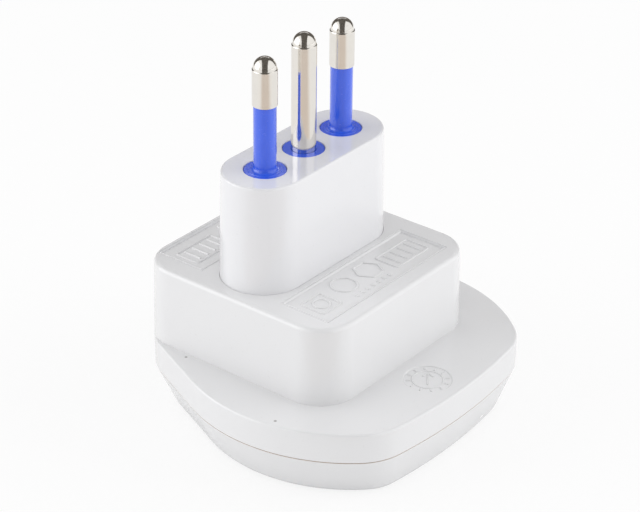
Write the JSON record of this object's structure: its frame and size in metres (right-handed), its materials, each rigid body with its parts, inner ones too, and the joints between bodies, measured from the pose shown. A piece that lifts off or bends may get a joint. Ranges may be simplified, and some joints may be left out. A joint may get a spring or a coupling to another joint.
{
  "type": "travel adapter",
  "caption": "White travel adapter: a plinth with a long nose and round plug pins in a row, two with blue sleeves, over a rounded base with rectangular socket slots underneath.",
  "frame": {"origin": "on the socket face, below the middle of the base outline", "axes": "+Z towards the tips of the plug pins, X along the pin row, -Y towards the shallow front arc of the base"},
  "size_m": [0.0554, 0.0526, 0.0642],
  "materials": {
    "shell_white": "glossy moulded white",
    "nose_white": "polished moulded white",
    "carrier_grey": "fine matt moulding",
    "pin_nickel": "bright nickel plate",
    "sleeve_blue": "satin blue",
    "contact_brass": "stamped sheet",
    "spring_steel": "rolled strip",
    "screw_steel": "zinc plated"
  },
  "bodies": {
    "root": {"socket_cover": "shell_white", "upper_housing": "shell_white", "plug_nose": "nose_white", "contact_carrier": "carrier_grey", "line_pin": "pin_nickel", "neutral_pin": "pin_nickel", "earth_pin": "pin_nickel", "line_sleeve": "sleeve_blue", "neutral_sleeve": "sleeve_blue", "earth_collar": "sleeve_blue", "line_contact": "contact_brass", "neutral_contact": "contact_brass", "earth_contact": "contact_brass", "line_spring": "spring_steel", "neutral_spring": "spring_steel", "earth_spring": "spring_steel", "line_bar": "contact_brass", "neutral_bar": "contact_brass", "earth_bar": "contact_brass", "cover_screw": "screw_steel"}
  },
  "joints": []
}
